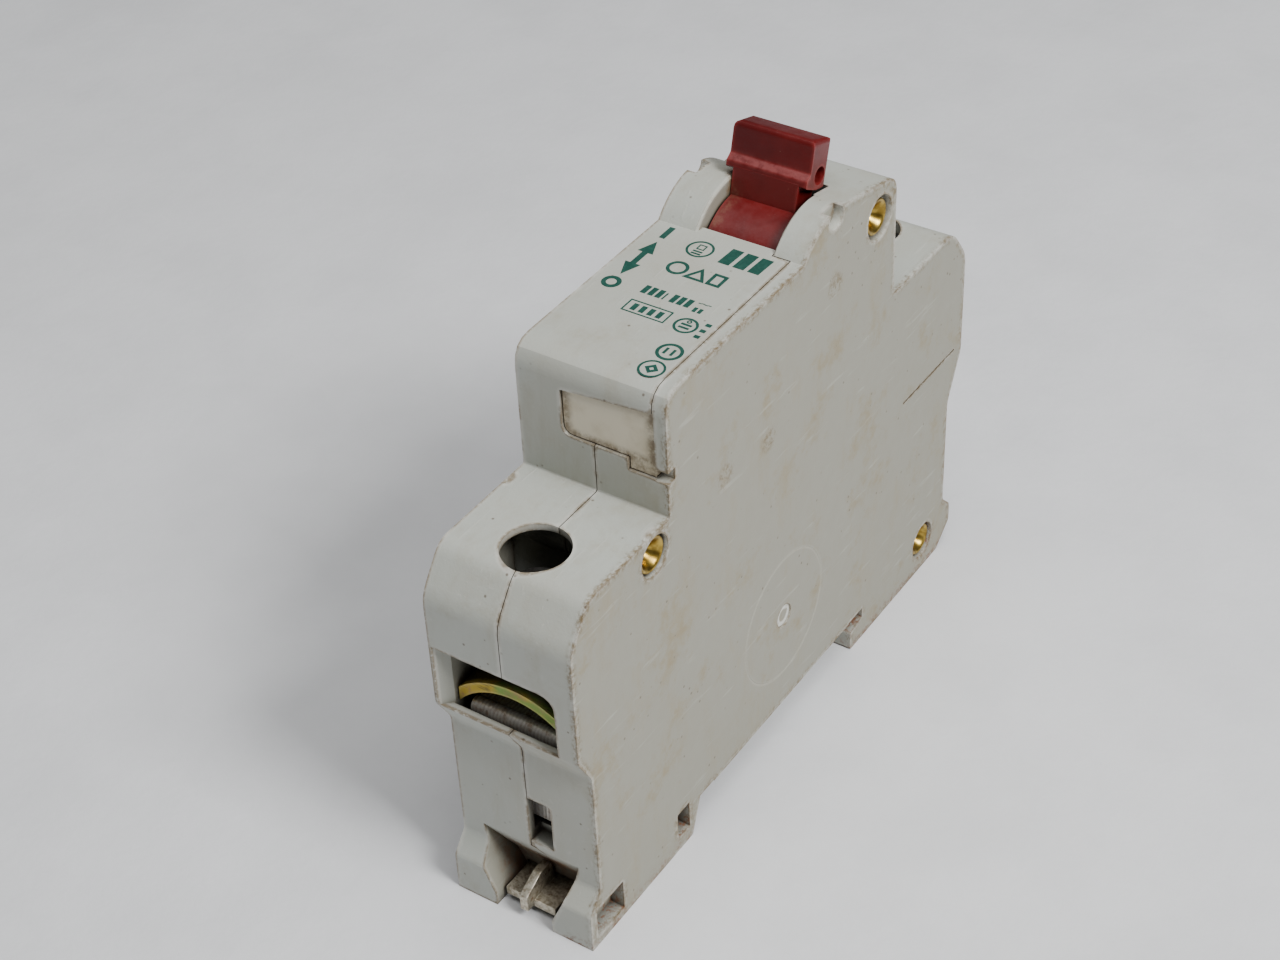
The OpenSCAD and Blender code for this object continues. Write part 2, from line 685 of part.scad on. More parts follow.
housing_base();
housing_cover();
rivets();
marker_plate();
toggle();
toggle_axle();
toggle_spring();
link_wire();
contact_carrier();
contact_arm();
moving_contact_tip();
arm_axle();
contact_spring();
fixed_contact_strip();
fixed_contact_tip();
coil_winding();
coil_bobbin();
magnet_yoke();
fixed_core();
plunger();
plunger_spring();
striker_pin();
trip_lever();
trip_axle();
trip_spring();
bimetal_strip();
bimetal_bracket();
calibration_screw();
flexible_braid();
arc_chute_sides();
arc_plates();
arc_runner_upper();
arc_runner_lower();
near_clamp_cage();
near_clamp_saddle();
near_clamp_screw();
near_busbar();
far_clamp_cage();
far_clamp_saddle();
far_clamp_screw();
far_busbar();
rail_latch();
latch_spring();
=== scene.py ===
"""Looks for the miniature circuit breaker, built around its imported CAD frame. Lengths are in metres."""
import json
import math

import bmesh
import bpy
from mathutils import Matrix, Vector


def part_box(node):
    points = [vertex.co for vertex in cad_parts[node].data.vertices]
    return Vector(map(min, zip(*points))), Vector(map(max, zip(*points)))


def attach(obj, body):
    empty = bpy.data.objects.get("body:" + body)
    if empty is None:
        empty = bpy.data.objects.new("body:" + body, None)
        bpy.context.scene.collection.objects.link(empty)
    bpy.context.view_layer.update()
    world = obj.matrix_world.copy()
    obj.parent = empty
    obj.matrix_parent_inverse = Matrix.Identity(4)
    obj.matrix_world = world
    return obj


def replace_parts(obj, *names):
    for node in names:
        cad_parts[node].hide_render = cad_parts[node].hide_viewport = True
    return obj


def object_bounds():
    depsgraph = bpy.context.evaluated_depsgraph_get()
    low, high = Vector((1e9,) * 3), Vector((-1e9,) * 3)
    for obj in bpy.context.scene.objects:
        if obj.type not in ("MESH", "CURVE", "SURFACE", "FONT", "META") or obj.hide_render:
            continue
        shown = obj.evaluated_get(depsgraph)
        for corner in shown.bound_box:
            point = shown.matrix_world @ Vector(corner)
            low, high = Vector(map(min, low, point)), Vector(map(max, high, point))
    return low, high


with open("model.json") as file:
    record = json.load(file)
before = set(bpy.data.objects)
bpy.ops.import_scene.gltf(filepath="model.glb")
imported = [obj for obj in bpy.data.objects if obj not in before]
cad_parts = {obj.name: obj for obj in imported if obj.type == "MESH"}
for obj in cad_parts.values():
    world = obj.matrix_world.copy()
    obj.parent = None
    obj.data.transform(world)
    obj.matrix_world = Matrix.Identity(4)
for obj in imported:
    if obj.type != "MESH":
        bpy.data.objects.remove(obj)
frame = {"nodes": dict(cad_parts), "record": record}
cad_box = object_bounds()
MM = 0.001


# ---- camera, floor and light ----

def look_matrix(azimuth, elevation, roll=0):
    """Rotation of something that looks back along the given direction, in degrees."""
    return (Matrix.Rotation(math.radians(azimuth), 4, "Z")
            @ Matrix.Rotation(math.radians(90 - elevation), 4, "X")
            @ Matrix.Rotation(math.radians(roll), 4, "Z"))


def add_camera():
    camera = bpy.data.objects.new("camera", bpy.data.cameras.new("camera"))
    turn = look_matrix(35.28, 38.31, -2.96)
    aim = Vector((-3.9, -9.3, 36.7)) * MM
    camera.matrix_world = Matrix.Translation(aim + turn @ Vector((0, 0, 250 * MM))) @ turn
    camera.data.lens = 66.68
    camera.data.sensor_width = 36
    camera.data.clip_start = 0.01
    camera.data.clip_end = 20
    bpy.context.scene.collection.objects.link(camera)
    bpy.context.scene.camera = camera


def add_softbox(name, azimuth, elevation, distance, size, power):
    light = bpy.data.lights.new(name, "AREA")
    light.shape = "RECTANGLE"
    light.size, light.size_y = size
    light.energy = power
    lamp = bpy.data.objects.new(name, light)
    turn = look_matrix(azimuth, elevation)
    lamp.matrix_world = Matrix.Translation(turn @ Vector((0, 0, distance))) @ turn
    bpy.context.scene.collection.objects.link(lamp)


add_camera()
add_softbox("key_light", 80, 48, 0.7, (0.2, 0.2), 4.9)
add_softbox("fill_light", 60, 84, 0.72, (0.6, 0.6), 3.6)
world = bpy.data.worlds.new("studio")
bpy.context.scene.world = world
world.use_nodes = True
world.node_tree.nodes["Background"].inputs["Color"].default_value = (0.80, 0.81, 0.83, 1)
world.node_tree.nodes["Background"].inputs["Strength"].default_value = 0.1

floor_mesh = bpy.data.meshes.new("floor")
shape = bmesh.new()
bmesh.ops.create_grid(shape, x_segments=8, y_segments=8, size=1.5)
shape.to_mesh(floor_mesh)
shape.free()
floor = bpy.data.objects.new("floor", floor_mesh)
floor.location.z = cad_box[0][2] - 0.02 * MM
bpy.context.scene.collection.objects.link(floor)


# ---- materials ----

def srgb(red, green, blue):
    """A colour given in 0 to 255 display values, as the linear colour a shader takes."""
    return tuple((v / 12.92 if v <= 0.04045 else ((v + 0.055) / 1.055) ** 2.4)
                 for v in (red / 255, green / 255, blue / 255)) + (1,)


class Recipe:
    """One node material. Its coordinates are the part's own frame, and its sizes are in millimetres."""

    def __init__(self, name):
        self.material = bpy.data.materials.new(name)
        self.material.use_nodes = True
        self.tree = self.material.node_tree
        self.shader = self.tree.nodes["Principled BSDF"]
        self.place = self.tree.nodes.new("ShaderNodeTexCoord").outputs["Object"]

    def node(self, kind, **settings):
        made = self.tree.nodes.new("ShaderNode" + kind)
        for key, value in settings.items():
            setattr(made, key, value)
        return made

    def give(self, socket, value):
        """Links a socket's value, or sets a plain one."""
        if isinstance(value, bpy.types.NodeSocket):
            self.tree.links.new(value, socket)
        else:
            socket.default_value = value

    def math(self, kind, first, second=0.0):
        made = self.node("Math", operation=kind)
        self.give(made.inputs[0], first)
        self.give(made.inputs[1], second)
        return made.outputs[0]

    def over(self, value, low, high):
        """0 below low, 1 above high, and smooth between. With low above high it runs the other way."""
        made = self.node("MapRange", interpolation_type="SMOOTHSTEP")
        self.give(made.inputs["Value"], value)
        flip = low > high
        made.inputs["From Min"].default_value = min(low, high)
        made.inputs["From Max"].default_value = max(low, high)
        made.inputs["To Min"].default_value = 1.0 if flip else 0.0
        made.inputs["To Max"].default_value = 0.0 if flip else 1.0
        return made.outputs["Result"]

    def stretched(self, stretch, shift):
        made = self.node("Mapping")
        self.give(made.inputs["Vector"], self.place)
        made.inputs["Location"].default_value = [step * MM for step in shift]
        made.inputs["Scale"].default_value = [1 / part for part in stretch]
        return made.outputs["Vector"]

    def noise(self, size, detail=4.0, roughness=0.55, stretch=(1, 1, 1), shift=(0, 0, 0)):
        """Cloudy noise with features of about this size."""
        made = self.node("TexNoise")
        self.give(made.inputs["Vector"], self.stretched(stretch, shift))
        made.inputs["Scale"].default_value = 1 / (size * MM)
        made.inputs["Detail"].default_value = detail
        made.inputs["Roughness"].default_value = roughness
        return made.outputs["Fac"]

    def specks(self, spacing, radius, shift=(0, 0, 0)):
        """Scattered dots."""
        made = self.node("TexVoronoi")
        self.give(made.inputs["Vector"], self.stretched((1, 1, 1), shift))
        made.inputs["Scale"].default_value = 1 / (spacing * MM)
        return self.over(made.outputs["Distance"], radius / spacing, 0.5 * radius / spacing)

    def along(self, axis):
        """Position along an axis, in millimetres."""
        split = self.node("SeparateXYZ")
        self.give(split.inputs[0], self.place)
        return self.math("MULTIPLY", split.outputs[axis], 1 / MM)

    def near(self, axis, at, reach):
        """1 at a place along an axis, and 0 from reach millimetres away."""
        away = self.math("ABSOLUTE", self.math("SUBTRACT", self.along(axis), at))
        return self.over(away, reach, 0.25 * reach)

    def away(self, first_axis, first_at, second_axis, second_at):
        """Distance from a line across two axes, in millimetres."""
        one = self.math("SUBTRACT", self.along(first_axis), first_at)
        two = self.math("SUBTRACT", self.along(second_axis), second_at)
        total = self.math("ADD", self.math("MULTIPLY", one, one), self.math("MULTIPLY", two, two))
        return self.math("SQRT", total)

    def facing(self, axis, low=0.5, high=0.9):
        """1 where the surface faces along an axis."""
        split = self.node("SeparateXYZ")
        self.give(split.inputs[0], self.node("NewGeometry").outputs["Normal"])
        return self.over(split.outputs[axis], low, high)

    def crevice(self, reach, start=0.8, full=0.35):
        """1 in corners, seams and holes of about this size."""
        made = self.node("AmbientOcclusion", samples=8)
        made.inputs["Distance"].default_value = reach * MM
        return self.over(made.outputs["AO"], start, full)

    def ridge(self, reach, start=0.95, full=0.6):
        """1 on outer edges."""
        made = self.node("AmbientOcclusion", samples=8, inside=True)
        made.inputs["Distance"].default_value = reach * MM
        return self.over(made.outputs["AO"], start, full)

    def times(self, *values):
        total = values[0]
        for value in values[1:]:
            total = self.math("MULTIPLY", total, value)
        return total

    def largest(self, *values):
        total = values[0]
        for value in values[1:]:
            total = self.math("MAXIMUM", total, value)
        return total

    def blend(self, amount, first, second):
        made = self.node("Mix", data_type="RGBA", clamp_factor=True)
        self.give(made.inputs["Factor"], amount)
        self.give(made.inputs[6], first)
        self.give(made.inputs[7], second)
        return made.outputs[2]

    def between(self, amount, first, second):
        """A number between two values."""
        return self.math("ADD", self.times(amount, second - first), first)

    def bump(self, *layers):
        """Each layer is a height from 0 to 1 and its depth in millimetres."""
        below = None
        for height, depth in layers:
            made = self.node("Bump")
            made.inputs["Strength"].default_value = 1.0
            made.inputs["Distance"].default_value = depth * MM
            self.give(made.inputs["Height"], height)
            if below is not None:
                self.give(made.inputs["Normal"], below)
            below = made.outputs["Normal"]
        self.give(self.shader.inputs["Normal"], below)

    def finish(self, colour, roughness, metallic=0.0):
        self.give(self.shader.inputs["Base Color"], colour)
        self.give(self.shader.inputs["Roughness"], roughness)
        self.shader.inputs["Metallic"].default_value = metallic
        return self.material


GRIME = srgb(104, 87, 60)
RUST = srgb(120, 72, 40)
DARK = srgb(38, 33, 28)
# Places on the housing in millimetres
GATE_Y, GATE_Z = -1.0, 17.0
GATE_RIM_RADIUS = 1.05
INSERT_RADIUS = 8.1
NOTCH_Y, NOTCH_Z = 10, 63.2
RIGHT_X = 8.9  # just outside the right face


def shaded_smeared_flanks(mix, flank):
    """Light grey, with the flat sides painted darker and yellower than the top as shade, and more smeared
    with dirt.
    """
    patches = mix.over(mix.noise(16, 3), 0.35, 0.7)
    colour = mix.blend(patches, srgb(176, 179, 171), srgb(172, 172, 161))
    # Painted shade: faces along X are darkened and yellowed to stand in for their dimmer light
    colour = mix.blend(mix.times(flank, 0.85), colour, srgb(144, 141, 127))
    streaks = mix.over(mix.noise(3.2, 6, 0.7, stretch=(1, 1.6, 4)), 0.48, 0.74)
    colour = mix.blend(mix.times(streaks, mix.between(flank, 0.25, 0.5)), colour, srgb(148, 136, 108))
    smudges = mix.over(mix.noise(8, 7, 0.75, shift=(9, 3, 5)), 0.52, 0.7)
    return mix.blend(mix.times(smudges, mix.between(flank, 0.22, 0.62)), colour, srgb(140, 124, 88))


def gate_marks(mix, flank, colour):
    """Pale rim around the moulding gate, inside the faint circle of the ejector insert."""
    radius = mix.away("Y", GATE_Y, "Z", GATE_Z)
    from_rim = mix.math("ABSOLUTE", mix.math("SUBTRACT", radius, GATE_RIM_RADIUS))
    rim = mix.times(flank, mix.over(from_rim, 0.4, 0.15))
    rim_gaps = mix.over(mix.noise(1.2, 3, shift=(2, 2, 9)), 0.4, 0.5)
    colour = mix.blend(mix.times(rim, rim_gaps, 0.8), colour, srgb(226, 226, 220))
    from_insert = mix.math("ABSOLUTE", mix.math("SUBTRACT", radius, INSERT_RADIUS))
    insert = mix.times(flank, mix.over(from_insert, 0.35, 0.05))
    return mix.blend(mix.times(insert, 0.16), colour, srgb(206, 204, 196))


def edge_highlight_and_wear(mix, colour):
    """Edges are painted paler, as a highlight and as rubbing wear, with a thin line of dirt that comes and
    goes.
    """
    stretches = mix.over(mix.noise(6, 3, 0.6, shift=(5, 2, 8)), 0.38, 0.52)
    ragged = mix.over(mix.noise(0.5, 5, 0.7, shift=(1, 6, 4)), 0.3, 0.52)
    edge = mix.ridge(0.7, 0.9, 0.62)
    # Painted highlight: every outer edge is paled evenly, standing also for rubbing wear
    colour = mix.blend(mix.times(edge, 0.55), colour, srgb(206, 204, 196))
    dirt_line = mix.times(mix.ridge(0.55, 0.85, 0.6), stretches, ragged, 0.8)
    colour = mix.blend(dirt_line, colour, srgb(114, 96, 66))
    # The rim of the right side is the dirtiest
    flecks = mix.over(mix.noise(0.4, 6, 0.8, stretch=(1, 1.6, 1.6), shift=(3, 9, 2)), 0.44, 0.6)
    brim = mix.times(mix.near("X", RIGHT_X, 1.2), mix.ridge(1.3, 0.92, 0.72), flecks,
                     mix.between(stretches, 0.4, 0.9))
    return mix.blend(brim, colour, srgb(116, 99, 68))


def seam_dirt_and_shade(mix, colour):
    """Dirt in seams and corners, painted deep shade inside the openings and the housing's interior, and
    scattered dots.
    """
    corners = mix.times(mix.crevice(0.9, 0.78, 0.4),
                        mix.over(mix.noise(5, 5, 0.65, shift=(4, 4, 4)), 0.36, 0.58))
    colour = mix.blend(mix.times(corners, 0.8), colour, GRIME)
    # Painted shade: deep hollows darkened to near-black by ambient occlusion
    colour = mix.blend(mix.times(mix.crevice(7, 0.45, 0.12), 0.9), colour, DARK)
    # Painted shade: the interior behind the terminal mouths is darkened to near-black
    hollow = mix.times(mix.near("X", 0, 9),
                       mix.over(mix.math("ABSOLUTE", mix.along("Y")), 38.2, 37.4),
                       mix.over(mix.along("Z"), 9.8, 10.4),
                       mix.over(mix.along("Z"), 44.9, 44.2),
                       mix.crevice(30, 0.5, 0.2))
    colour = mix.blend(mix.times(hollow, 0.9), colour, DARK)
    dots = mix.times(mix.specks(1.5, 0.2), mix.over(mix.noise(5, 3, shift=(1, 8, 2)), 0.46, 0.58))
    return mix.blend(mix.times(dots, 0.7), colour, srgb(92, 76, 58))


def foot_rust_and_shade(mix, colour):
    """Rust-brown stains in the recess behind the latch and in the pockets of the right side, with painted
    shade darkening the recess.
    """
    recess = mix.times(mix.near("Y", -36.2, 2.6), mix.near("Z", 5, 5.5), mix.near("X", 0, 7.5),
                       mix.crevice(5, 0.85, 0.45))
    stain = mix.over(mix.noise(1.6, 6, 0.7, shift=(3, 1, 6)), 0.42, 0.56)
    back = mix.math("SUBTRACT", 1.0, mix.facing("Y", -0.9, -0.5))
    # Painted shade: the recess is darkened, most on the faces toward the near end
    colour = mix.blend(mix.times(recess, mix.between(back, 0.2, 0.8)), colour, srgb(142, 124, 104))
    colour = mix.blend(mix.times(recess, stain, 0.75), colour, RUST)
    pockets = mix.times(mix.over(mix.along("Z"), 9.5, 8.5), mix.over(mix.along("X"), 4.5, 5.5),
                        mix.crevice(3, 0.85, 0.5),
                        mix.over(mix.noise(0.7, 6, 0.75, shift=(7, 7, 1)), 0.5, 0.58))
    return mix.blend(mix.times(pockets, 0.85), colour, RUST)


def notch_dirt(mix, colour):
    """Dirt in the small round notches of the two cheeks."""
    notch = mix.times(mix.over(mix.away("Y", NOTCH_Y, "Z", NOTCH_Z), 1.7, 1.1),
                      mix.crevice(1.2, 0.9, 0.6),
                      mix.over(mix.noise(0.7, 5, 0.7), 0.36, 0.55))
    return mix.blend(mix.times(notch, 0.75), colour, srgb(108, 84, 56))


def housing_plastic():
    """Light grey moulding: yellowed in places, with grime in its seams, rubbed edges with a painted
    highlight, and painted shade on its sides, in its openings and in the foot recess.
    """
    mix = Recipe("housing_plastic")
    flank = mix.largest(mix.facing("X"), mix.math("SUBTRACT", 1.0, mix.facing("X", -0.9, -0.5)))
    scratches = mix.over(mix.noise(0.5, 3, 0.5, stretch=(1, 14, 1.5), shift=(2, 7, 1)), 0.62, 0.76)
    colour = shaded_smeared_flanks(mix, flank)
    colour = mix.blend(mix.times(scratches, 0.2), colour, srgb(206, 205, 198))
    colour = gate_marks(mix, flank, colour)
    colour = edge_highlight_and_wear(mix, colour)
    colour = seam_dirt_and_shade(mix, colour)
    colour = foot_rust_and_shade(mix, colour)
    colour = notch_dirt(mix, colour)
    mix.bump((mix.noise(0.3, 3, 0.6), 0.022), (mix.noise(0.9, 4, 0.6), 0.03), (scratches, 0.012))
    return mix.finish(colour, mix.between(mix.noise(2.2, 4), 0.42, 0.66))


def marker_plastic():
    """Aged cream plate with brown dirt drawn in from its edges."""
    mix = Recipe("marker_plastic")
    colour = mix.blend(mix.over(mix.noise(3.5, 4), 0.35, 0.65), srgb(222, 213, 190), srgb(204, 192, 164))
    rims = mix.largest(mix.near("X", -3.6, 1.5), mix.near("X", 7.3, 1.5), mix.near("Z", 51.7, 1.1),
                       mix.times(mix.near("Z", 58, 1.3), 0.6), mix.times(mix.near("Z", 50.6, 1.2), 0.9))
    rims = mix.times(rims, mix.over(mix.noise(1.2, 6, 0.75), 0.3, 0.62))
    colour = mix.blend(mix.times(rims, 0.8), colour, srgb(104, 82, 54))
    colour = mix.blend(mix.times(mix.specks(0.8, 0.12), rims, 0.9), colour, srgb(70, 52, 34))
    mix.bump((mix.noise(0.14, 2), 0.008), (mix.noise(1.1, 3), 0.02))
    return mix.finish(colour, mix.between(mix.noise(1.5), 0.35, 0.6))


def toggle_plastic():
    """Dark red glossy plastic, dusty on the drum, with painted highlights along the edges and the ledge and
    painted shade in its corners.
    """
    mix = Recipe("toggle_plastic")
    colour = mix.blend(mix.over(mix.noise(6, 3), 0.35, 0.7), srgb(98, 14, 14), srgb(80, 10, 11))
    # Painted highlight: outer edges paled to a lighter red
    colour = mix.blend(mix.times(mix.ridge(0.6, 0.85, 0.5), 0.45), colour, srgb(150, 52, 50))
    low = mix.over(mix.along("Z"), 63.6, 61.4)
    dust = mix.times(low, mix.over(mix.noise(1.3, 7, 0.75), 0.44, 0.74),
                     mix.over(mix.along("X"), -1.8, -3.7))
    colour = mix.blend(mix.times(dust, 0.7), colour, srgb(124, 92, 70))
    # Painted highlight: a pale pinkish line along the ledge below the grip
    ledge = mix.times(mix.over(mix.along("Y"), 11.45, 11.1), mix.near("Z", 65.6, 0.75))
    colour = mix.blend(mix.times(ledge, mix.over(mix.noise(0.8, 5, 0.7), 0.3, 0.6), 0.35), colour,
                       srgb(160, 84, 82))
    motes = mix.times(mix.specks(0.6, 0.05), mix.over(mix.noise(2.5, 3), 0.5, 0.62))
    colour = mix.blend(mix.times(motes, 0.6), colour, srgb(190, 150, 130))
    film = mix.times(mix.facing("Z", 0.55, 0.95), mix.over(mix.noise(1.1, 5), 0.35, 0.7))
    colour = mix.blend(mix.times(film, 0.05), colour, srgb(170, 110, 108))
    # Painted shade: corners and creases darkened to near-black red
    colour = mix.blend(mix.times(mix.crevice(1.6, 0.75, 0.3), 0.55), colour, srgb(50, 14, 12))
    mix.bump((mix.noise(0.16, 2), 0.006), (mix.noise(1.4, 3), 0.03))
    return mix.finish(colour, mix.between(mix.noise(1.0, 5), 0.26, 0.5))


def metal(name, pale, dark, size, roughness, grain=0.01, dirt=0.35, stretch=(1, 1, 1)):
    """Plated or bare metal: two tones in patches, fine grain and dirt in the corners."""
    mix = Recipe(name)
    colour = mix.blend(mix.over(mix.noise(size, 5, 0.65, stretch), 0.38, 0.64), pale, dark)
    colour = mix.blend(mix.times(mix.crevice(0.9, 0.8, 0.3), dirt), colour, GRIME)
    mix.bump((mix.noise(0.12, 3, 0.6, stretch), grain), (mix.noise(size * 0.6, 4), 2 * grain))
    return mix.finish(colour, mix.between(mix.noise(size * 0.5, 4), *roughness), 1.0)


def plain(name, pale, dark, size, roughness, grain=0.012):
    """Moulded or pressed board for the inner pieces, with painted shade in the corners."""
    mix = Recipe(name)
    colour = mix.blend(mix.over(mix.noise(size, 5, 0.6), 0.35, 0.65), pale, dark)
    # Painted shade: corners darkened towards near-black
    colour = mix.blend(mix.times(mix.crevice(1.2, 0.8, 0.3), 0.4), colour, DARK)
    mix.bump((mix.noise(0.14, 2), grain), (mix.noise(0.8, 4), 2 * grain))
    return mix.finish(colour, mix.between(mix.noise(size * 0.6), *roughness))


def passivated_steel():
    """Yellow zinc passivation, shifting through green, blue and pink, with painted highlights on its edges
    and painted shade on the part deep inside the housing.
    """
    mix = Recipe("yellow_passivated_steel")
    drift = mix.math("MULTIPLY", mix.math("ADD", mix.along("X"), 6.0), 0.035)
    sheen = mix.math("ADD", mix.noise(2.6, 5, 0.6, stretch=(1.6, 1, 1)), mix.math("SUBTRACT", drift, 0.2))
    colour = mix.blend(mix.over(sheen, 0.42, 0.56), srgb(174, 150, 46), srgb(116, 142, 62))
    colour = mix.blend(mix.over(sheen, 0.6, 0.74), colour, srgb(118, 152, 106))
    tarnish = mix.over(mix.noise(1.1, 6, 0.75, shift=(5, 5, 2)), 0.5, 0.66)
    colour = mix.blend(mix.times(tarnish, 0.7), colour, srgb(150, 112, 88))
    scratch = mix.over(mix.noise(0.35, 3, 0.5, stretch=(7, 1, 1)), 0.58, 0.7)
    colour = mix.blend(mix.times(scratch, 0.7), colour, srgb(74, 66, 26))
    # Painted highlight: outer edges paled
    colour = mix.blend(mix.times(mix.ridge(0.5, 0.93, 0.6), 0.35), colour, srgb(206, 190, 120))
    # Painted shade: the part deep inside the housing is darkened
    depth = mix.over(mix.math("ABSOLUTE", mix.along("Y")), 38.2, 37.4)
    colour = mix.blend(mix.times(depth, 0.85), colour, srgb(58, 50, 32))
    mix.bump((mix.noise(0.12, 3), 0.012), (scratch, 0.015))
    return mix.finish(colour, mix.between(mix.noise(1.2), 0.34, 0.55), 0.65)


def ribbed_nickel():
    """Bright nickel with fine cross ribs, as on the terminal bars."""
    mix = Recipe("ribbed_nickel")
    across = mix.math("SINE", mix.math("MULTIPLY", mix.along("X"), 2 * math.pi / 0.42))
    ribs = mix.over(across, -0.8, 0.8)
    colour = mix.blend(mix.over(mix.noise(1.0, 6, 0.75), 0.46, 0.7),
                       srgb(252, 246, 236), srgb(196, 172, 150))
    colour = mix.blend(mix.times(mix.math("SUBTRACT", 1.0, ribs), 0.2), colour, srgb(150, 124, 104))
    mix.bump((ribs, 0.012), (mix.noise(0.25, 4), 0.012))
    return mix.finish(colour, mix.between(mix.noise(0.6), 0.22, 0.42), 0.6)


def speckled_nickel():
    """Dull plated latch, pitted and specked, with painted shade in its corners."""
    mix = Recipe("speckled_nickel")
    colour = mix.blend(mix.over(mix.noise(0.5, 5, 0.7), 0.4, 0.62),
                       srgb(206, 200, 184), srgb(160, 150, 130))
    colour = mix.blend(mix.times(mix.specks(0.5, 0.1), 0.5), colour, srgb(220, 214, 200))
    rust = mix.over(mix.noise(1.2, 5, 0.7, shift=(3, 3, 3)), 0.56, 0.68)
    colour = mix.blend(mix.times(rust, 0.6), colour, RUST)
    # Painted shade: corners darkened towards near-black
    colour = mix.blend(mix.times(mix.crevice(2.5, 0.7, 0.3), 0.6), colour, DARK)
    mix.bump((mix.noise(0.2, 4, 0.7), 0.015), (mix.noise(0.8, 3), 0.03))
    return mix.finish(colour, mix.between(mix.noise(0.8), 0.34, 0.56), 0.9)


def label_ink():
    """Dark green pad-printed ink, thin in places."""
    mix = Recipe("label_ink")
    colour = mix.blend(mix.over(mix.noise(0.5, 5, 0.7), 0.4, 0.72), srgb(20, 70, 60), srgb(34, 84, 72))
    gaps = mix.over(mix.noise(0.22, 4, 0.7), 0.66, 0.74)
    colour = mix.blend(mix.times(gaps, 0.4), colour, srgb(120, 134, 124))
    mix.bump((mix.noise(0.15, 3), 0.004))
    return mix.finish(colour, mix.between(mix.noise(0.7), 0.4, 0.6))


def paper_floor():
    """Matte white sheet with a faint tooth."""
    mix = Recipe("paper_floor")
    colour = mix.blend(mix.over(mix.noise(22, 5, 0.6), 0.35, 0.7), srgb(226, 227, 229), srgb(219, 220, 222))
    mix.bump((mix.noise(1.1, 4, 0.6), 0.05), (mix.noise(14, 3), 0.25))
    return mix.finish(colour, mix.between(mix.noise(6), 0.7, 0.85))


finishes = {
    "housing_plastic": housing_plastic(),
    "marker_plastic": marker_plastic(),
    "toggle_plastic": toggle_plastic(),
    "rivet_brass": metal("rivet_brass", srgb(186, 158, 78), srgb(136, 110, 48), 1.1, (0.24, 0.4),
                         grain=0.006, dirt=0.9),
    "spring_steel": metal("spring_steel", srgb(176, 174, 168), srgb(128, 124, 116), 0.8, (0.25, 0.4)),
    "axle_steel": metal("axle_steel", srgb(190, 188, 184), srgb(150, 148, 144), 1.2, (0.2, 0.36)),
    "carrier_plastic": plain("carrier_plastic", srgb(62, 62, 64), srgb(46, 46, 48), 2.0, (0.4, 0.6)),
    "copper": metal("copper", srgb(204, 126, 88), srgb(146, 84, 56), 2.2, (0.28, 0.5)),
    "contact_silver": metal("contact_silver", srgb(214, 212, 206), srgb(160, 156, 148), 0.7, (0.28, 0.5)),
    "bobbin_plastic": plain("bobbin_plastic", srgb(196, 180, 136), srgb(174, 156, 112), 2.4, (0.4, 0.6)),
    "core_steel": metal("core_steel", srgb(128, 128, 130), srgb(92, 92, 94), 1.8, (0.34, 0.52)),
    "plated_steel": metal("plated_steel", srgb(120, 118, 114), srgb(74, 70, 66), 1.6, (0.3, 0.55), 0.015),
    "yellow_passivated_steel": passivated_steel(),
    "chute_fibre": plain("chute_fibre", srgb(168, 128, 92), srgb(140, 102, 70), 3.0, (0.6, 0.8), 0.02),
}
bar_finish = ribbed_nickel()
latch_finish = speckled_nickel()
ink_finish = label_ink()
floor.data.materials.append(paper_floor())

for subpart in frame["record"]["subparts"]:
    for material_slot in frame["nodes"][subpart["node"]].material_slots:
        material_slot.material = finishes[subpart["material_slot"]]
for node, finish in (("near_busbar", bar_finish), ("far_busbar", bar_finish), ("rail_latch", latch_finish)):
    for material_slot in frame["nodes"][node].material_slots:
        material_slot.material = finish


# ---- softened edges on the CAD nodes ----

def soften(node, width, segments=2, angle=28):
    """Rounds the sharp edges of a CAD node's rendered surface, without touching its mesh."""
    thing = frame["nodes"][node]
    weld = thing.modifiers.new("weld", "WELD")
    weld.merge_threshold = 0.002 * MM
    flat = thing.modifiers.new("flat", "DECIMATE")
    flat.decimate_type = "DISSOLVE"
    flat.angle_limit = math.radians(0.4)
    bevel = thing.modifiers.new("bevel", "BEVEL")
    bevel.width = width * MM
    bevel.segments = segments
    bevel.limit_method = "ANGLE"
    bevel.angle_limit = math.radians(angle)
    bevel.use_clamp_overlap = True
    bevel.harden_normals = False
    thing.modifiers.new("normals", "WEIGHTED_NORMAL")


soften("housing_base", 0.25)
soften("housing_cover", 0.25)
soften("toggle", 0.4, 4)
soften("marker_plate", 0.08)
soften("rail_latch", 0.1)
for piece in ("near_clamp_saddle", "far_clamp_saddle", "near_clamp_cage", "far_clamp_cage",
              "near_busbar", "far_busbar", "near_clamp_screw", "far_clamp_screw"):
    soften(piece, 0.12)


# ---- brass eyelets in place of the plain rivets ----

def new_piece(name, shape, finish, body="root"):
    """A mesh piece that rides a body."""
    bmesh.ops.recalc_face_normals(shape, faces=shape.faces)
    mesh = bpy.data.meshes.new(name)
    shape.to_mesh(mesh)
    shape.free()
    mesh.materials.append(finish)
    piece = bpy.data.objects.new(name, mesh)
    bpy.context.scene.collection.objects.link(piece)
    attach(piece, body)
    return piece


def turned(shape, profile, centre, steps=64):
    """A ring turned about an axis along X from closed (x, radius) points, in millimetres."""
    loops = []
    for step in range(steps):
        angle = 2 * math.pi * step / steps
        loops.append([shape.verts.new(Vector((x, centre[0] + radius * math.cos(angle),
                                              centre[1] + radius * math.sin(angle))) * MM)
                      for x, radius in profile])
    count = len(profile)
    for step in range(steps):
        here, there = loops[step], loops[(step + 1) % steps]
        for i in range(count):
            k = (i + 1) % count
            shape.faces.new((here[i], here[k], there[k], there[i])).smooth = True


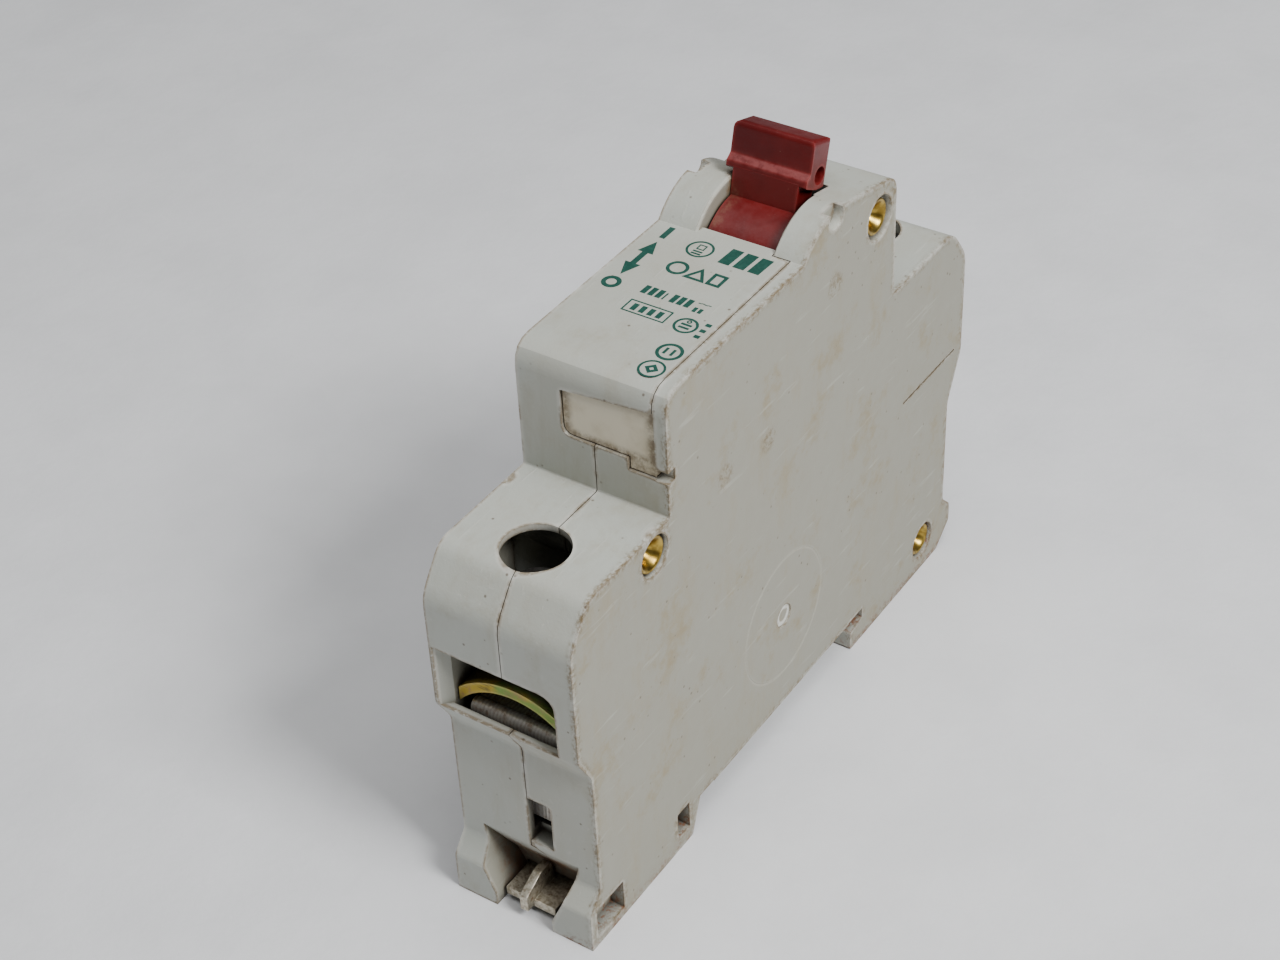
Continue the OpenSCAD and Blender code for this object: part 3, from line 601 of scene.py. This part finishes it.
def eyelet_profile(rim, head_x):
    """Rolled rim, dished inside down to the open middle, the same at both ends."""
    tube_out, tube_in, roll, dish_depth, steps = 1.5, 0.55, 0.2, 1.5, 14
    outer = [(head_x, tube_out), (head_x, rim)]
    for i in range(5):
        lean = math.radians(22.5 * i)
        outer.append((head_x + 0.26 + roll * math.sin(lean), rim - roll + roll * math.cos(lean)))
    bowl = []
    for i in range(1, steps + 1):
        share = i / steps
        bowl.append((head_x + 0.46 - dish_depth * math.sin(share * math.pi / 2) ** 2,
                     rim - roll - (rim - roll - tube_in) * share))
    half = outer + bowl
    return half + [(-x, radius) for x, radius in reversed(half)]


RIVET_SPOTS = ((-25.3, 43.3), (18.9, 57.7), (32.0, 4.2))
RIM_RADIUS = 2.1
ROLL_DEPTH = 0.6

head_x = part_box("rivets")[1][0] / MM - ROLL_DEPTH
eyelets = bmesh.new()
for spot in RIVET_SPOTS:
    turned(eyelets, eyelet_profile(RIM_RADIUS, head_x), spot)
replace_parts(new_piece("eyelets", eyelets, finishes["rivet_brass"]), "rivets")


# ---- generic marks printed on the label ----

LABEL_Z = 60.6
INK_DEPTH = 0.018


def patch(shape, points):
    """A flat inked shape, from its corners on the label in millimetres."""
    low = [shape.verts.new(Vector((x, y, LABEL_Z + 0.002)) * MM) for x, y in points]
    high = [shape.verts.new(Vector((x, y, LABEL_Z + INK_DEPTH)) * MM) for x, y in points]
    shape.faces.new(low)
    shape.faces.new(high)
    for i in range(len(points)):
        k = (i + 1) % len(points)
        shape.faces.new((low[i], low[k], high[k], high[i]))


def bar(shape, x0, x1, y0, y1, lean=0.0):
    patch(shape, [(x0, y0), (x1, y0), (x1 + lean, y1), (x0 + lean, y1)])


def hoop(shape, centre, reach, line, sides=48, turn=0.0):
    """An inked outline: a ring, or a polygon when it has few sides."""
    corners = [(math.cos(turn + 2 * math.pi * i / sides), math.sin(turn + 2 * math.pi * i / sides))
               for i in range(sides)]
    for i in range(sides):
        a, b = corners[i], corners[(i + 1) % sides]
        patch(shape, [(centre[0] + a[0] * reach, centre[1] + a[1] * reach),
                      (centre[0] + b[0] * reach, centre[1] + b[1] * reach),
                      (centre[0] + b[0] * (reach - line), centre[1] + b[1] * (reach - line)),
                      (centre[0] + a[0] * (reach - line), centre[1] + a[1] * (reach - line))])


def frame_of(shape, x0, x1, y0, y1, line):
    for sides in ((x0, x1, y0, y0 + line), (x0, x1, y1 - line, y1),
                  (x0, x0 + line, y0 + line, y1 - line), (x1 - line, x1, y0 + line, y1 - line)):
        bar(shape, *sides)


def print_mark(name, draw):
    shape = bmesh.new()
    draw(shape)
    new_piece(name, shape, ink_finish)


def on_off_marks(shape):
    """I, a double arrow and O, beside the toggle's throw."""
    bar(shape, -6.86, -6.2, 0.4, 2.65)
    hoop(shape, (-6.5, -8.8), 1.05, 0.5)
    for tip, base in ((-0.4, -2.65), (-7.2, -4.9)):
        patch(shape, [(-7.4, base), (-5.6, base), (-6.5, tip)])
    bar(shape, -6.83, -6.17, -4.9, -2.65)


def badge(shape):
    hoop(shape, (-1.95, 0.6), 1.5, 0.26)
    hoop(shape, (-1.95, 0.95), 0.65, 0.22, sides=4, turn=math.pi / 4)
    for step in range(2):
        bar(shape, -2.5, -1.4, 0.0 - 0.42 * step, 0.24 - 0.42 * step)


def bold_blocks(shape):
    for step in range(3):
        x0 = 0.8 + 1.75 * step
        bar(shape, x0, x0 + 1.3, -0.55, 2.35, 0.15)


def outline_shapes(shape):
    hoop(shape, (-2.1, -3.4), 1.2, 0.38)
    hoop(shape, (0.35, -3.75), 1.5, 0.7, sides=3, turn=math.pi / 2)
    frame_of(shape, 1.75, 3.4, -4.5, -2.35, 0.38)


def rating_bars(shape):
    for step in range(7):
        x0 = -3.05 + 0.84 * step
        tall = 1.42 if step != 3 else 1.2
        bar(shape, x0, x0 + (0.6 if step != 3 else 0.18), -8.95, -8.95 + tall, 0.05)
    for step in range(2):
        bar(shape, 3.2 + 0.62 * step, 3.6 + 0.62 * step, -9.25, -8.45)
    for step in range(4):
        x0 = 3.1 + 0.36 * step
        y0 = -7.72 + 0.07 * (step % 2)
        bar(shape, x0, x0 + 0.36, y0, y0 + 0.12)


def boxed_dashes(shape):
    frame_of(shape, -3.05, 1.95, -12.4, -10.3, 0.18)
    for step in range(4):
        bar(shape, -2.3 + 0.98 * step, -1.72 + 0.98 * step, -11.95, -10.8)


def ringed_marks(shape):
    hoop(shape, (4.1, -11.6), 1.3, 0.28)
    hoop(shape, (5.15, -16.1), 1.4, 0.36)
    hoop(shape, (5.15, -19.25), 1.4, 0.25)
    bar(shape, 3.5, 4.7, -12.15, -11.85)
    bar(shape, 3.5, 4.7, -11.6, -11.3)
    hoop(shape, (4.1, -10.9), 0.28, 0.16, sides=12)
    bar(shape, 4.55, 4.85, -16.6, -15.55)
    bar(shape, 5.35, 5.65, -16.6, -15.55)
    hoop(shape, (5.15, -19.25), 0.78, 0.5, sides=4)
    for step in range(3):
        bar(shape, 5.72, 6.35, -10.75 - 1.08 * step, -10.25 - 1.08 * step)


for name, draw in (("print_on_off", on_off_marks), ("print_badge", badge), ("print_blocks", bold_blocks),
                   ("print_outlines", outline_shapes), ("print_rating", rating_bars),
                   ("print_boxed", boxed_dashes), ("print_rings", ringed_marks)):
    print_mark(name, draw)
